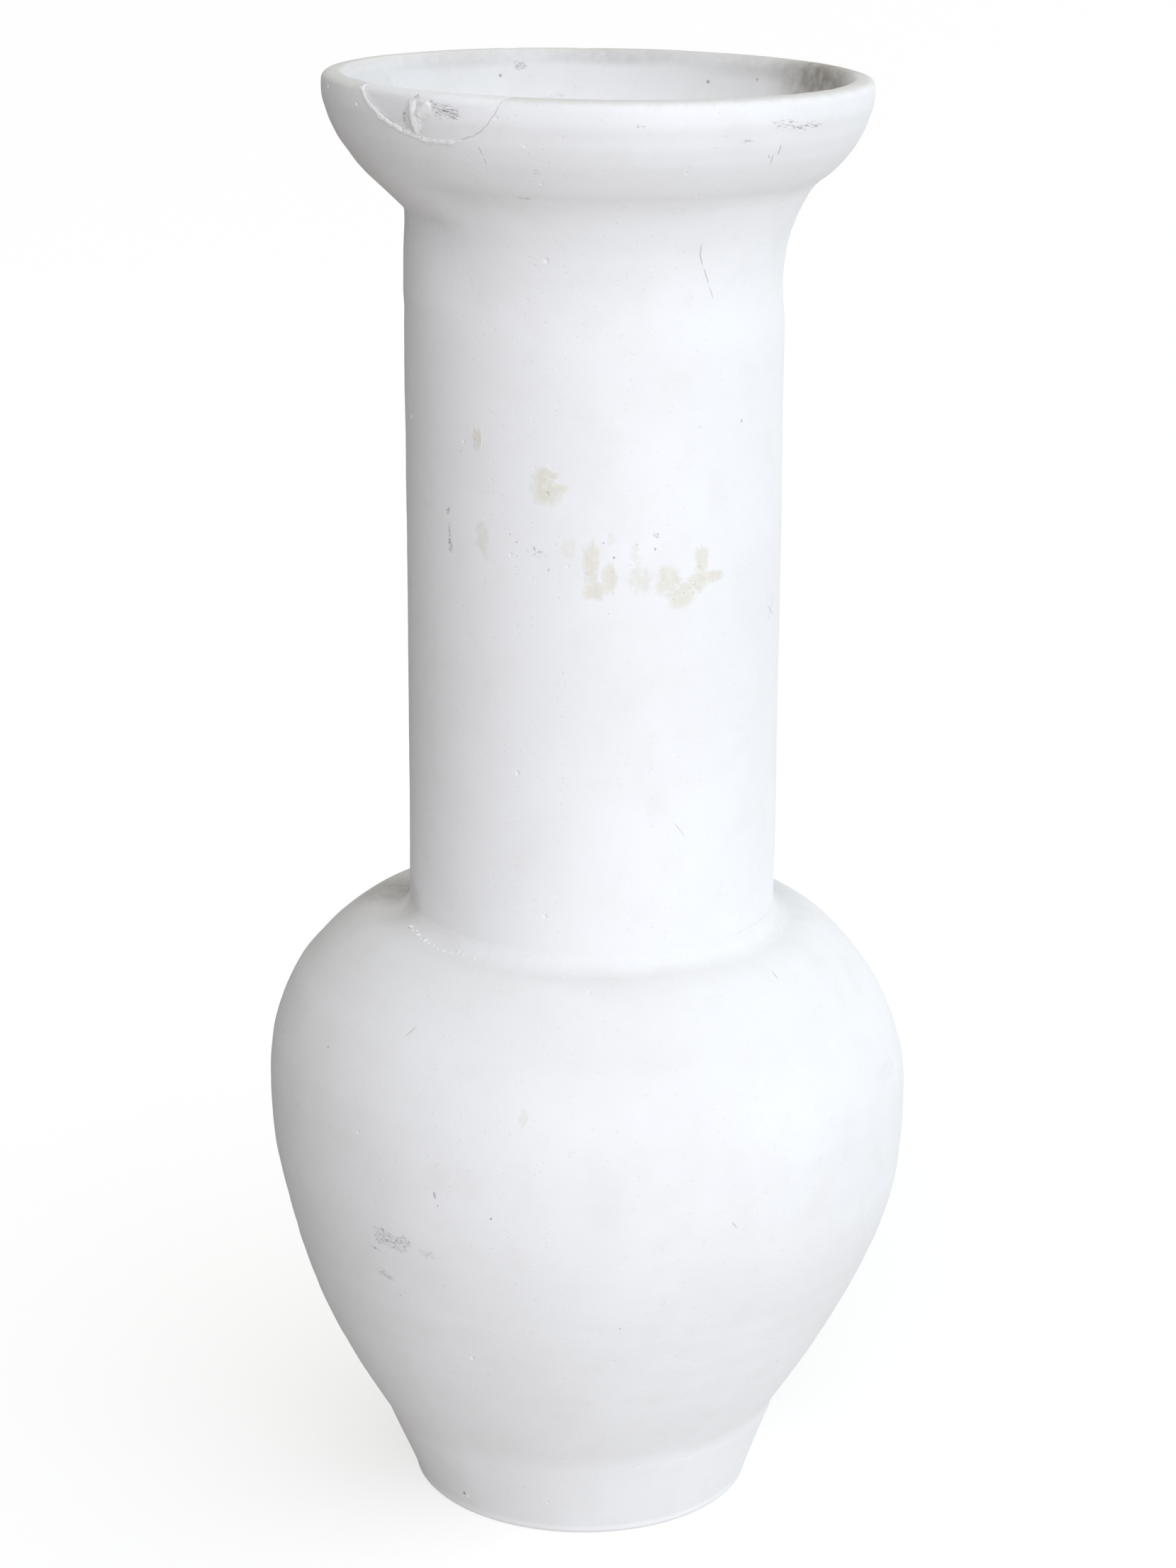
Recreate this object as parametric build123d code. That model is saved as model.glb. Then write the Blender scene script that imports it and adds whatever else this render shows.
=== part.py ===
from build123d import *
import math
import os

# Hollow plaster vase model, the positive that pottery moulds are taken from.
# Turned sections stand one on another. Each has a spigot that drops into the section
# below it, and wet plaster (luting) fills the gap. The rim has one repaired break.
# Millimetres, +Z up. The origin is the centre of the flat base.

# Driving dimensions of the outside
HEIGHT = 480.0
BASE_RADIUS = 57.8
BASE_EDGE_ROUND = 2.5
FOOT_TOP_RADIUS = 69.3
FOOT_TOP_Z = 32.0
LOWER_BELLY_ANGLE = 33.0
BELLY_RADIUS = 108.0
BELLY_Z = 145.0
SHOULDER_FLAT_RADIUS = 70.0
SHOULDER_Z = 202.6
NECK_RADIUS = 60.8
FLARE_START_Z = 400.0
FLARE_ANGLE = 34.5
CREASE_RADIUS = 70.4
CREASE_Z = 448.0
RIM_RADIUS = 86.8
RIM_Z = 476.0
RIM_CREST_RADIUS = 81.4
LIP_WIDTH = 8.2

# Driving dimensions of the inside
BELLY_WALL = 9.0
BORE_RADIUS = 52.0
THROAT_Z = 434.0
COLLAR_INNER_RADIUS = 62.0
COLLAR_UNDERSIDE_Z = 191.0
FOOT_INNER_RADIUS = 54.0
FOOT_INNER_Z = 30.0
LEDGE_RADIUS = 41.0
LEDGE_Z = 13.0
LEDGE_THICKNESS = 4.0
RECESS_RADIUS = 45.0
RECESS_EDGE_CHAMFER = 1.0
DISC_UNDERSIDE_Z = 3.0

# How far each end of a curve follows its own direction, from the base up and back down
LOWER_BELLY_PULLS = (68.0, 17.0)
SHOULDER_PULLS = (29.4, 14.0)
FLARE_PULLS = (10.3, 27.4)
BOWL_START_ANGLE = 60.0
BOWL_PULLS = (17.2, 3.8)
LIP_OUTER_PULLS = (2.6, 5.4)
LIP_INNER_DROP = 4.5
LIP_INNER_PULLS = (1.5, 3.0)
BOWL_FLOOR = (62.0, 452.5)
BOWL_FLOOR_ANGLE = 66.0
BOWL_FLOOR_PULLS = (11.0, 10.0)
THROAT_PULLS = (6.0, 9.0)
COLLAR_PULLS = (13.0, 26.0)
INNER_BELLY_PULLS = (24.0, 66.0)
COVE_PULLS = (8.0, 5.0)

# Joints: z of the bed that carries the upper section, radius and lower end of its spigot
LUTING_GAP = 1.0
FOOT_JOINT = (FOOT_TOP_Z, 58.5, 24.0)
SHOULDER_JOINT = (SHOULDER_Z + LUTING_GAP, 57.0, COLLAR_UNDERSIDE_Z)
MOUTH_JOINT = (CREASE_Z, 60.0, 441.0)
SHOULDER_BEAD = 5.0
SHOULDER_BEAD_PULL = 1.6

# Left of the flare, rubbed away to an upright wall below a slant under the bowl
RUB_REACH = 61.1
RUB_CENTRE = 40.0
RUB_TOP_Z = 437.4
RUB_TOP_ANGLE = 47.7
RUB_TOP_LENGTH = 20.0

# Repair in the rim, as seen from outside: tangent distance and height about SHARD_AZIMUTH
SHARD_AZIMUTH = -128.0
SHARD_LEFT = -27.5
SHARD_RIGHT = 28.5
SHARD_DEPTH_PULLS = ((-14.0, 464.0), (24.0, 457.5))
SHARD_SEAM = 0.6
DAUB_AZIMUTH = -129.0
DAUB_Z = 471.5
DAUB_RADIUS = 10.0
DAUB_HEIGHT = 0.5
DAUB_CLEARANCE = 0.02

# Luting crumbs on the shoulder: azimuth, distance from the axis, radius
CRUMBS = (
    (-156.4, 64.6, 1.6),
    (-148.3, 65.0, 1.2),
    (-141.9, 66.4, 1.5),
    (-134.1, 65.6, 1.7),
    (-130.2, 63.9, 1.1),
)
CRUMB_RISE = 0.4

# Dried glue on the neck: azimuth, height, width, tallness
GLUE_THICKNESS = 0.25
GLUE_PATCHES = (
    (-126.0, 372.3, 3.4, 7.6),
    (-103.6, 359.7, 11.0, 10.5),
    (-88.6, 333.6, 10.0, 17.0),
    (-64.0, 329.5, 14.0, 18.0),
    (-51.5, 330.5, 8.0, 6.5),
)

FAR = 200.0


def rz(radius, z):
    """A point of the half section, which lies in the XZ plane."""
    return Vector(radius, 0, z)


def toward(point, distance, angle):
    """The half-section point at a distance from another, at an angle from +Z."""
    turn = math.radians(angle)
    return rz(point.X + distance * math.sin(turn), point.Z + distance * math.cos(turn))


def filled(edges):
    """The face that a closed run of edges goes round."""
    return make_face(Wire(edges)).face()


def polygon(*points):
    """The face of a polygon given by half-section points."""
    return filled(Polyline(*[rz(r, z) for r, z in points], close=True).edges())


def turned(face):
    """The solid that a half-section face makes around the axis."""
    return revolve(face, Axis.Z).clean()


def curve(low, low_angle, high, high_angle, pulls):
    """A curve that leaves one point and meets another at the given angles from +Z."""
    return Bezier(low, toward(low, pulls[0], low_angle), toward(high, -pulls[1], high_angle), high)


def bowl_curve():
    """Outside of the bowl, from the crease to the widest part of the rim."""
    crease = rz(CREASE_RADIUS, CREASE_Z)
    widest = rz(RIM_RADIUS, RIM_Z)
    return curve(crease, BOWL_START_ANGLE, widest, 0, BOWL_PULLS)


def lower_outside():
    """Outside from the base to the neck: foot cone, belly and flat of the shoulder."""
    base_edge = rz(BASE_RADIUS - BASE_EDGE_ROUND, 0)
    foot_low = rz(BASE_RADIUS, BASE_EDGE_ROUND)
    foot_top = rz(FOOT_TOP_RADIUS, FOOT_TOP_Z)
    belly = rz(BELLY_RADIUS, BELLY_Z)
    shoulder = rz(SHOULDER_FLAT_RADIUS, SHOULDER_Z)
    neck_low = rz(NECK_RADIUS, SHOULDER_Z)
    return [
        Bezier(base_edge, rz(BASE_RADIUS, 0), foot_low),
        Line(foot_low, foot_top),
        curve(foot_top, LOWER_BELLY_ANGLE, belly, 0, LOWER_BELLY_PULLS),
        curve(belly, 0, shoulder, -90, SHOULDER_PULLS),
        Line(shoulder, neck_low),
    ]


def upper_outside():
    """Outside of the neck, its flare and the bowl, up to the rim crest."""
    neck_low = rz(NECK_RADIUS, SHOULDER_Z)
    flare_low = rz(NECK_RADIUS, FLARE_START_Z)
    crease = rz(CREASE_RADIUS, CREASE_Z)
    widest = rz(RIM_RADIUS, RIM_Z)
    crest = rz(RIM_CREST_RADIUS, HEIGHT)
    return [
        Line(neck_low, flare_low),
        curve(flare_low, 0, crease, FLARE_ANGLE, FLARE_PULLS),
        bowl_curve(),
        curve(widest, 0, crest, -90, LIP_OUTER_PULLS),
    ]


def inside():
    """Inside from the rim crest down the bowl, the bore and the belly to the foot."""
    crest = rz(RIM_CREST_RADIUS, HEIGHT)
    lip_inner = rz(RIM_RADIUS - LIP_WIDTH, HEIGHT - LIP_INNER_DROP)
    bowl_floor = rz(*BOWL_FLOOR)
    throat = rz(BORE_RADIUS, THROAT_Z)
    bore_low = rz(BORE_RADIUS, COLLAR_UNDERSIDE_Z)
    collar = rz(COLLAR_INNER_RADIUS, COLLAR_UNDERSIDE_Z)
    belly = rz(BELLY_RADIUS - BELLY_WALL, BELLY_Z)
    foot = rz(FOOT_INNER_RADIUS, FOOT_INNER_Z)
    cove = rz(LEDGE_RADIUS, LEDGE_Z + LEDGE_THICKNESS)
    ledge = rz(LEDGE_RADIUS, LEDGE_Z)
    recess_top = rz(RECESS_RADIUS, LEDGE_Z)
    recess_low = rz(RECESS_RADIUS, RECESS_EDGE_CHAMFER)
    recess_edge = rz(RECESS_RADIUS + RECESS_EDGE_CHAMFER, 0)
    return [
        curve(crest, -90, lip_inner, 180, LIP_INNER_PULLS),
        curve(lip_inner, 180, bowl_floor, 180 + BOWL_FLOOR_ANGLE, BOWL_FLOOR_PULLS),
        curve(bowl_floor, 180 + BOWL_FLOOR_ANGLE, throat, 180, THROAT_PULLS),
        Line(throat, bore_low),
        Line(bore_low, collar),
        curve(collar, 90, belly, 180, COLLAR_PULLS),
        curve(belly, 180, foot, 180 + LOWER_BELLY_ANGLE, INNER_BELLY_PULLS),
        curve(foot, 180 + LOWER_BELLY_ANGLE, cove, -90, COVE_PULLS),
        Line(cove, ledge),
        Line(ledge, recess_top),
        Line(recess_top, recess_low),
        Line(recess_low, recess_edge),
    ]


def wall_face():
    """Half section of the whole shell, before it is parted into sections."""
    edges = lower_outside() + upper_outside() + inside()
    closing = Line(edges[-1] @ 1, edges[0] @ 0)
    return filled(edges + [closing])


def above(joint):
    """Half section of everything that stands on a joint, with the upper spigot."""
    bed_z, spigot_radius, spigot_z = joint
    return polygon(
        (0, HEIGHT + FAR),
        (FAR, HEIGHT + FAR),
        (FAR, bed_z),
        (spigot_radius, bed_z),
        (spigot_radius, spigot_z),
        (0, spigot_z),
    )


def below(joint):
    """Half section of everything under a joint, one luting gap clear of the upper part."""
    bed_z, spigot_radius, spigot_z = joint
    return polygon(
        (0, -FAR),
        (FAR, -FAR),
        (FAR, bed_z - LUTING_GAP),
        (spigot_radius + LUTING_GAP, bed_z - LUTING_GAP),
        (spigot_radius + LUTING_GAP, spigot_z - LUTING_GAP),
        (0, spigot_z - LUTING_GAP),
    )


def luting_face(wall, joint):
    """Half section of the luting that fills a joint."""
    return wall - above(joint) - below(joint)


def shoulder_bead_face():
    """Half section of the concave bead that is wiped into the corner under the neck."""
    corner = rz(NECK_RADIUS, SHOULDER_Z)
    low = rz(NECK_RADIUS + SHOULDER_BEAD, SHOULDER_Z)
    high = rz(NECK_RADIUS, SHOULDER_Z + SHOULDER_BEAD)
    hollow = Bezier(low, toward(corner, SHOULDER_BEAD_PULL, 45), high)
    return filled([Line(corner, low), hollow, Line(high, corner)])


def rubbed_off_flare():
    """What was rubbed off the left of the flare."""
    rubbed_height = CREASE_Z - FLARE_START_Z
    align = (Align.CENTER, Align.CENTER, Align.MIN)
    around = Pos(0, 0, FLARE_START_Z) * Cylinder(BELLY_RADIUS, rubbed_height, align=align)
    upright = Pos(RUB_CENTRE, 0, FLARE_START_Z) * Cylinder(RUB_CENTRE + RUB_REACH, rubbed_height, align=align)
    slant_end = toward(rz(RUB_REACH, RUB_TOP_Z), RUB_TOP_LENGTH, RUB_TOP_ANGLE)
    under_bowl = polygon((0, RUB_TOP_Z), (RUB_REACH, RUB_TOP_Z), (slant_end.X, slant_end.Z), (0, slant_end.Z))
    return around - upright - turned(under_bowl)


def floor_disc():
    """The disc that closes the foot from below."""
    thickness = LEDGE_Z - LUTING_GAP - DISC_UNDERSIDE_Z
    disc = Cylinder(RECESS_RADIUS - LUTING_GAP, thickness, align=(Align.CENTER, Align.CENTER, Align.MIN))
    return Pos(0, 0, DISC_UNDERSIDE_Z) * disc


def floor_disc_luting():
    """The luting around and on top of the floor disc."""
    disc_radius = RECESS_RADIUS - LUTING_GAP
    return turned(
        polygon(
            (disc_radius, DISC_UNDERSIDE_Z),
            (RECESS_RADIUS, DISC_UNDERSIDE_Z),
            (RECESS_RADIUS, LEDGE_Z),
            (LEDGE_RADIUS, LEDGE_Z),
            (LEDGE_RADIUS, LEDGE_Z - LUTING_GAP),
            (disc_radius, LEDGE_Z - LUTING_GAP),
        )
    )


def radial_plane(azimuth, z=0.0):
    """A plane on the axis that faces outward, with its x axis around the wall to the right."""
    turn = math.radians(azimuth)
    outward = Vector(math.cos(turn), math.sin(turn), 0)
    right = Vector(-math.sin(turn), math.cos(turn), 0)
    return Plane(origin=Vector(0, 0, z), x_dir=right, z_dir=outward)


def shard_cutter(margin):
    """A block through the rim in the outline of the broken piece, a margin wider all round."""
    plane = radial_plane(SHARD_AZIMUTH)
    left = Vector(SHARD_LEFT - margin, HEIGHT + 1)
    right = Vector(SHARD_RIGHT + margin, HEIGHT + 1)
    pulls = [Vector(x + math.copysign(margin, x), z - 1.3 * margin) for x, z in SHARD_DEPTH_PULLS]
    top_left = Vector(left.X, HEIGHT + 10)
    top_right = Vector(right.X, HEIGHT + 10)
    edges = [
        Bezier(left, *pulls, right),
        Line(right, top_right),
        Line(top_right, top_left),
        Line(top_left, left),
    ]
    return extrude(plane * filled(edges), amount=2 * RIM_RADIUS)


def filler_daub():
    """A fingertip's worth of filler, pressed on the outside of the mended rim."""
    outside_bowl = filled(
        [
            bowl_curve(),
            Line(rz(RIM_RADIUS, RIM_Z), rz(RIM_RADIUS, HEIGHT)),
            Line(rz(RIM_RADIUS, HEIGHT), rz(FAR, HEIGHT)),
            Line(rz(FAR, HEIGHT), rz(FAR, CREASE_Z)),
            Line(rz(FAR, CREASE_Z), rz(CREASE_RADIUS, CREASE_Z)),
        ]
    )
    centre_distance = RIM_RADIUS - DAUB_RADIUS + DAUB_HEIGHT
    turn = math.radians(DAUB_AZIMUTH)
    centre = Pos(centre_distance * math.cos(turn), centre_distance * math.sin(turn), DAUB_Z)
    clear_of_wall = turned(Pos(DAUB_CLEARANCE, 0, 0) * outside_bowl)
    return clear_of_wall & (centre * Sphere(DAUB_RADIUS))


def luting_crumbs(neighbours):
    """Small lumps of luting left on the shoulder beside the neck."""
    crumbs = []
    for azimuth, distance, radius in CRUMBS:
        turn = math.radians(azimuth)
        place = Pos(distance * math.cos(turn), distance * math.sin(turn), SHOULDER_Z + CRUMB_RISE * radius)
        crumbs.append((place * Sphere(radius) - neighbours).solid())
    return Compound(children=crumbs)


def glue_residue():
    """Thin patches of dried glue on the front of the neck."""
    skin = turned(
        polygon(
            (NECK_RADIUS, SHOULDER_Z + SHOULDER_BEAD),
            (NECK_RADIUS + GLUE_THICKNESS, SHOULDER_Z + SHOULDER_BEAD),
            (NECK_RADIUS + GLUE_THICKNESS, FLARE_START_Z),
            (NECK_RADIUS, FLARE_START_Z),
        )
    )
    patches = []
    for azimuth, z, width, tallness in GLUE_PATCHES:
        outline = radial_plane(azimuth, z) * Ellipse(width / 2, tallness / 2)
        patches.append((skin & extrude(outline, amount=2 * NECK_RADIUS)).solid())
    return Compound(children=patches)


def build():
    """All the pieces by node name."""
    wall = wall_face()
    whole_mouth = turned(wall & above(MOUTH_JOINT))
    shard_hole = shard_cutter(SHARD_SEAM)
    shard_outline = shard_cutter(0)
    body_section = turned(wall & above(FOOT_JOINT) & below(SHOULDER_JOINT))
    shoulder_luting = turned(luting_face(wall, SHOULDER_JOINT) + shoulder_bead_face())
    return {
        "foot_section": turned(wall & below(FOOT_JOINT)),
        "floor_disc": floor_disc(),
        "floor_disc_luting": floor_disc_luting(),
        "foot_joint_luting": turned(luting_face(wall, FOOT_JOINT)),
        "body_section": body_section,
        "shoulder_joint_luting": shoulder_luting,
        "neck_section": turned(wall & above(SHOULDER_JOINT) & below(MOUTH_JOINT)) - rubbed_off_flare(),
        "mouth_joint_luting": turned(luting_face(wall, MOUTH_JOINT)),
        "mouth_section": whole_mouth - shard_hole,
        "rim_shard": whole_mouth & shard_outline,
        "shard_bedding": (whole_mouth & shard_hole) - shard_outline,
        "filler_daub": filler_daub(),
        "luting_crumbs": luting_crumbs(body_section + shoulder_luting),
        "glue_residue": glue_residue(),
    }


os.makedirs("parts", exist_ok=True)
for node, shape in build().items():
    export_step(shape, f"parts/{node}.step")
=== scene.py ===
import itertools
import math
import random

import bmesh
import bpy
from mathutils import Euler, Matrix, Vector, noise


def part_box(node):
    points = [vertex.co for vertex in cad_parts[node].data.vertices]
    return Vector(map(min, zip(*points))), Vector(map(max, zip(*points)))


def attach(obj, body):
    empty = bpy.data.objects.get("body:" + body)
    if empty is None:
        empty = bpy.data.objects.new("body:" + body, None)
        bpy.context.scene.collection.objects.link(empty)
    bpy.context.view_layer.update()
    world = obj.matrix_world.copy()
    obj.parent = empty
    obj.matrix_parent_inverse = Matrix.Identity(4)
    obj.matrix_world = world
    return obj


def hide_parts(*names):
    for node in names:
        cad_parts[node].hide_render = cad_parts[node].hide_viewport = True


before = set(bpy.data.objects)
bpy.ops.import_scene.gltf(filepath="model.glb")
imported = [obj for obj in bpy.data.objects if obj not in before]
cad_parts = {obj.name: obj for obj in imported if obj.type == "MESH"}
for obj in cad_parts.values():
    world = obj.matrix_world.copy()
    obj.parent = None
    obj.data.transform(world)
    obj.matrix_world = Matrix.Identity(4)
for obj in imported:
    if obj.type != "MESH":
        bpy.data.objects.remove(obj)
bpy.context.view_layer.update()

# The look of a hollow plaster vase model. Outlines are (radius, z) in millimetres and
# turn about Z. Meshes are in metres, in the frame's own place.

MM = 0.001


def mm_box(node):
    """A node's lowest and highest corners in millimetres."""
    low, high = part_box(node)
    return Vector(low) / MM, Vector(high) / MM


# ---- sizes from the frame

foot_joint_low, foot_joint_high = mm_box("foot_joint_luting")
_, body_high = mm_box("body_section")
neck_low, _ = mm_box("neck_section")
mouth_joint_low, mouth_joint_high = mm_box("mouth_joint_luting")
_, mouth_high = mm_box("mouth_section")
disc_low, disc_high = mm_box("floor_disc")
_, disc_luting_high = mm_box("floor_disc_luting")

HEIGHT = mouth_high.z
FOOT_TOP = (foot_joint_high.x, foot_joint_high.z)
BELLY_RADIUS = body_high.x
SHOULDER_Z = body_high.z
CREASE = (mouth_joint_high.x, mouth_joint_high.z)
RIM_RADIUS = mouth_high.x
NECK_FOOT_Z = SHOULDER_Z + 1.0
GAP = 1.0

# Shape values of the outline that no box gives
BASE_RADIUS = 57.8
BASE_ROUND = 2.5
BELLY_Z = 145.0
LOWER_BELLY_ANGLE = 33.0
SHOULDER_FLAT_RADIUS = 70.0
NECK_RADIUS = 60.8
FLARE_START_Z = 400.0
FLARE_ANGLE = 34.5
RIM_Z = 476.0
CREST_RADIUS = RIM_RADIUS - 5.4
LIP_WIDTH = 8.2
LIP_DROP = 4.5
BORE_RADIUS = 52.0
THROAT_Z = 434.0
BOWL_FLOOR = (62.0, 452.5)
BOWL_FLOOR_ANGLE = 66.0
COLLAR_RADIUS = 62.0
BELLY_WALL = 9.0
FOOT_INNER = (54.0, 30.0)
LEDGE_RADIUS = 41.0
LEDGE_TOP_Z = 17.0
FOOT_SPIGOT_RADIUS = 58.5
SHOULDER_SPIGOT_RADIUS = 57.0
MOUTH_SPIGOT_RADIUS = 60.0
BEAD_WIDTH = 6.6
BEAD_HEIGHT = 5.6

# ---- outline curves

CURVE_STEPS = 200
CORNER_STEPS = 40
FINE, COARSE, JOINT_STEP = 1.2, 6, 3


def heading(point, distance, angle):
    """A point at a distance from another, at an angle from +Z."""
    turn = math.radians(angle)
    return point[0] + distance * math.sin(turn), point[1] + distance * math.cos(turn)


def weighted(weights, points):
    return tuple(sum(w * p[k] for w, p in zip(weights, points)) for k in (0, 1))


def on_bezier(ends, t):
    """A point of the cubic Bezier with four control points."""
    s = 1 - t
    return weighted((s**3, 3 * s * s * t, 3 * s * t * t, t**3), ends)


def curve(start, start_angle, end, end_angle, pulls, step):
    """Points about a step apart on a Bezier that leaves and arrives at the given angles."""
    ends = (start, heading(start, pulls[0], start_angle), heading(end, -pulls[1], end_angle), end)
    return respaced([on_bezier(ends, i / CURVE_STEPS) for i in range(CURVE_STEPS + 1)], step)


def respaced(points, step):
    """The same polyline with its points evenly spaced, about a step apart."""
    lengths = [0.0]
    for a, b in zip(points, points[1:]):
        lengths.append(lengths[-1] + math.dist(a, b))
    count = max(1, round(lengths[-1] / step))
    out, k = [points[0]], 0
    for i in range(1, count):
        want = lengths[-1] * i / count
        while lengths[k + 1] < want:
            k += 1
        share = (want - lengths[k]) / (lengths[k + 1] - lengths[k])
        out.append(tuple(points[k][j] + share * (points[k + 1][j] - points[k][j]) for j in (0, 1)))
    return out + [points[-1]]


def straight(start, end, step):
    return respaced([start, end], step)


def joined(*runs):
    """Runs of points end to end, each shared point kept once."""
    out = []
    for run in runs:
        out += run if not out or math.dist(out[-1], run[0]) > 1e-6 else run[1:]
    return out


def part_of(points, low_z, high_z):
    """The stretch of a rising or falling polyline between two heights, cut exactly."""
    out = []
    for a, b in zip(points, points[1:]):
        for level in (low_z, high_z):
            if (a[1] - level) * (b[1] - level) < 0:
                share = (level - a[1]) / (b[1] - a[1])
                out.append((a[0] + share * (b[0] - a[0]), level))
        if low_z <= b[1] <= high_z:
            out.append(b)
    if low_z <= points[0][1] <= high_z:
        out.insert(0, points[0])
    falling = points[0][1] > points[-1][1]
    return sorted(out, key=lambda p: -p[1] if falling else p[1])


foot_outside = joined(
    curve((BASE_RADIUS - BASE_ROUND, 0), 90, (BASE_RADIUS, BASE_ROUND), 0, (2.0, 2.0), 0.6),
    straight((BASE_RADIUS, BASE_ROUND), FOOT_TOP, FINE),
)
belly_outside = joined(
    curve(FOOT_TOP, LOWER_BELLY_ANGLE, (BELLY_RADIUS, BELLY_Z), 0, (68.0, 17.0), 1.6),
    curve((BELLY_RADIUS, BELLY_Z), 0, (SHOULDER_FLAT_RADIUS, SHOULDER_Z), -90, (29.4, 14.0), 1.5),
)
flare_outside = curve((NECK_RADIUS, FLARE_START_Z), 0, CREASE, FLARE_ANGLE, (10.3, 27.4), FINE)
bowl_outside = curve(CREASE, 60.0, (RIM_RADIUS, RIM_Z), 0, (17.2, 3.8), 0.8)
crest = (CREST_RADIUS, HEIGHT)
lip_inner = (RIM_RADIUS - LIP_WIDTH, HEIGHT - LIP_DROP)
lip_outside = curve((RIM_RADIUS, RIM_Z), 0, crest, -90, (2.6, 5.4), 0.4)
lip_inside = curve(crest, -90, lip_inner, 180, (1.5, 3.0), 0.5)
bowl_inside = joined(
    curve(lip_inner, 180, BOWL_FLOOR, 180 + BOWL_FLOOR_ANGLE, (11.0, 10.0), 1.2),
    curve(BOWL_FLOOR, 180 + BOWL_FLOOR_ANGLE, (BORE_RADIUS, THROAT_Z), 180, (6.0, 9.0), 1.5),
)
COLLAR_Z = neck_low.z
BELLY_INNER = (BELLY_RADIUS - BELLY_WALL, BELLY_Z)
belly_inside = joined(
    curve((COLLAR_RADIUS, COLLAR_Z), 90, BELLY_INNER, 180, (13, 26), COARSE),
    curve(BELLY_INNER, 180, FOOT_INNER, 180 + LOWER_BELLY_ANGLE, (24, 66), COARSE),
)
cove_inside = curve(FOOT_INNER, 180 + LOWER_BELLY_ANGLE, (LEDGE_RADIUS, LEDGE_TOP_Z), -90, (8, 5), 2.0)


def rounded(before, after, reach, step):
    """Two runs joined with their shared corner rounded off, a reach each way."""
    corner = after[0]
    start = min(before, key=lambda p: abs(math.dist(p, corner) - reach))
    end = min(after, key=lambda p: abs(math.dist(p, corner) - reach))
    arc = []
    for i in range(CORNER_STEPS + 1):
        t = i / CORNER_STEPS
        arc.append(weighted(((1 - t) ** 2, 2 * t * (1 - t), t * t), (start, corner, end)))
    return joined(before[: before.index(start) + 1], respaced(arc, step), after[after.index(end) :])


lower_skin = rounded(foot_outside, belly_outside, 4.0, 0.8)
neck_straight = straight((NECK_RADIUS, SHOULDER_Z), (NECK_RADIUS, FLARE_START_Z), FINE)
upper_skin = joined(rounded(joined(neck_straight, flare_outside), bowl_outside, 3.2, 0.5), lip_outside)


def radius_at(z):
    """Radius of the outside of the neck or the mouth at a height."""
    for a, b in zip(upper_skin, upper_skin[1:]):
        if a[1] <= z <= b[1] and b[1] > a[1]:
            return a[0] + (z - a[1]) / (b[1] - a[1]) * (b[0] - a[0])
    return upper_skin[-1][0]


# ---- the hand-worked surface

WOBBLE = 0.20
RIM_WAVE = 0.2
RIM_NICK = 0.45

# How far each height stands off the axis along X, and how much it swells, as (z, distance)
OFF_CENTRE = (
    (0, -0.3), (26, -1.1), (34, -1.8), (45, -1.6), (58, -1.15), (70, -0.75), (79, -0.2), (89, 0.4), (98, 1),
    (108, 1.3), (116, 1.2), (125, 0.8), (145, 0.45), (154, 0.2), (163, -0.3), (172, -0.45), (181, -0.65),
    (190, -0.4), (197, -0.1), (204, 0.3), (208, 1.2), (240, 1.1), (264, 0.85), (300, 0.7), (330, 0.5),
    (356, 0.2), (384, -0.2), (405, -0.2), (425, 0), (480, 0),
)
SWELL = (
    (0, 0), (118, 0), (145, -0.5), (172, 0), (180, 0), (188, -0.6), (197, -0.7), (203, 0), (422, 0),
    (434, -0.4), (447, -0.75), (456, -0.95), (461, -0.7), (467, -0.45), (473, 0), (480, 0),
)
SHOULDER_TILT = 0.0085
RIM_TILT = 0.0042
CREASE_FILL = 0.8

# Left of the flare, rubbed away to an upright wall below a slant under the bowl
RUB_REACH = 61.1
RUB_TOP_Z = 437.4
RUB_SLANT = 1.10


def smooth(low, high, x):
    t = min(1.0, max(0.0, (x - low) / (high - low)))
    return t * t * (3 - 2 * t)


def along(table, z):
    """A value at a height, eased between the entries of a table."""
    for (low, start), (high, end) in zip(table, table[1:]):
        if low <= z <= high:
            return start + (end - start) * smooth(low, high, z)
    return 0.0


def rubbed_radius(radius, p):
    """Radius of the neck's outside where the left of the flare is rubbed away."""
    share = smooth(0.60, 0.93, -p.x / radius) * smooth(456.0, 448.5, p.z) * smooth(400, 412, p.z)
    slant = max(0.0, p.z - RUB_TOP_Z) * RUB_SLANT
    soft = 0.3 * math.exp(-abs(p.z - RUB_TOP_Z) / 1.0)
    return radius + share * (RUB_REACH + slant + soft - radius)


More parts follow.
